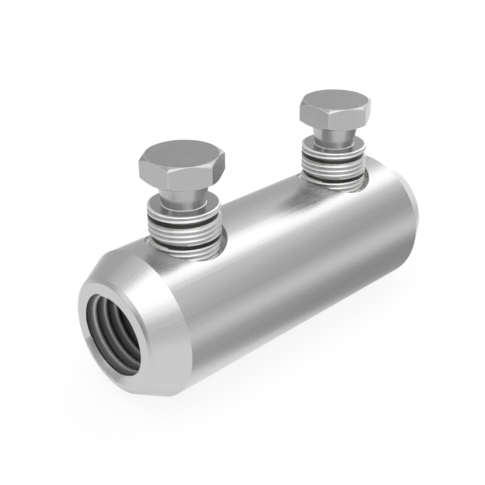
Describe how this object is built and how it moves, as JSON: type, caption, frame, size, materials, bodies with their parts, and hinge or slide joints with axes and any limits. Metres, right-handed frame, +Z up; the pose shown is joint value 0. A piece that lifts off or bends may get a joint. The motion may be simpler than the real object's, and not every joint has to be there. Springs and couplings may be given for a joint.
{
  "type": "shear bolt connector",
  "caption": "Turned aluminium barrel that joins power cable conductors end to end in blind bores, each clamped by a bolt whose hexagon head shears off.",
  "frame": {"origin": "on the barrel's axis, half way along the barrel", "axes": "+X along the barrel from its near end to its far end, +Z up along the bolts"},
  "size_m": [0.08, 0.03, 0.0464],
  "materials": {
    "tinned_aluminium": "turned and tin plated, satin",
    "tinned_brass": "turned, threaded and tin plated, satin",
    "plain_brass": "turned, bare"
  },
  "bodies": {
    "barrel": {"connector_body": "tinned_aluminium"},
    "near_pad": {"near_thrust_pad": "plain_brass"},
    "near_bolt": {"near_shear_bolt": "tinned_brass"},
    "far_pad": {"far_thrust_pad": "plain_brass"},
    "far_bolt": {"far_shear_bolt": "tinned_brass"}
  },
  "joints": [
    {"name": "near_bolt_travel", "type": "slide", "parent": "barrel", "child": "near_pad", "axis": [0, 0, 1], "range_m": [-0.0076, 0.003]},
    {"name": "near_bolt_turn", "type": "hinge", "parent": "near_pad", "child": "near_bolt", "pos_m": [-0.0217, 0, 0.015], "axis": [0, 0, 1], "range_deg": [-2736, 1080]},
    {"name": "far_bolt_travel", "type": "slide", "parent": "barrel", "child": "far_pad", "axis": [0, 0, 1], "range_m": [-0.0076, 0.003]},
    {"name": "far_bolt_turn", "type": "hinge", "parent": "far_pad", "child": "far_bolt", "pos_m": [0.0217, 0, 0.015], "axis": [0, 0, 1], "range_deg": [-2736, 1080]}
  ],
  "couplings": [
    {"joint": "near_bolt_turn", "follows": "near_bolt_travel", "rad_per_m": 6283.1},
    {"joint": "far_bolt_turn", "follows": "far_bolt_travel", "rad_per_m": 6283.1}
  ]
}
